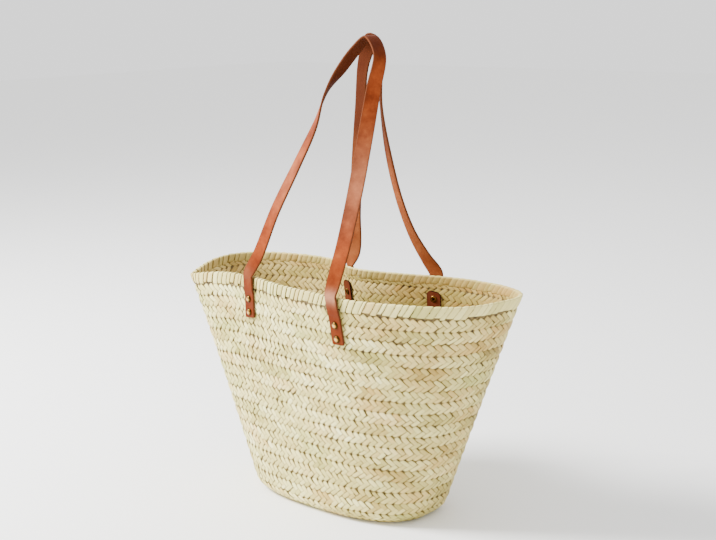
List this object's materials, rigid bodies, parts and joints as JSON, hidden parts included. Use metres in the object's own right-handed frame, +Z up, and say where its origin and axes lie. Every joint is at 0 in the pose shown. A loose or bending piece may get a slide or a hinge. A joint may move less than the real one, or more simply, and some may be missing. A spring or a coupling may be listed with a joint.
{
  "type": "straw basket bag",
  "caption": "Plaited palm-leaf market basket with an oval base, a folded rim band and long flat leather shoulder straps riveted to the wall.",
  "frame": {"origin": "the place under the crowns of the two straps where the bag hangs, on a hook or a hand", "axes": "+Z up from the base to the straps, X along the bag's length, the front wall on the -Y side"},
  "size_m": [0.4716, 0.1826, 0.5771],
  "materials": {
    "palm_leaf": "plaited dried palm leaf, matt",
    "strap_leather": "tan smooth-grain leather, satin, with darker cut edges",
    "tab_leather": "red-brown leather, satin",
    "rivet_brass": "antique brass, dulled"
  },
  "bodies": {
    "root": {"basket_body": "palm_leaf", "rim_band": "palm_leaf", "strap_front": "strap_leather", "strap_back": "strap_leather", "tab_front_left": "tab_leather", "rivet_front_left_upper": "rivet_brass", "rivet_front_left_lower": "rivet_brass", "tab_front_right": "tab_leather", "rivet_front_right_upper": "rivet_brass", "rivet_front_right_lower": "rivet_brass", "tab_back_left": "tab_leather", "rivet_back_left_upper": "rivet_brass", "rivet_back_left_lower": "rivet_brass", "tab_back_right": "tab_leather", "rivet_back_right_upper": "rivet_brass", "rivet_back_right_lower": "rivet_brass"}
  },
  "joints": []
}
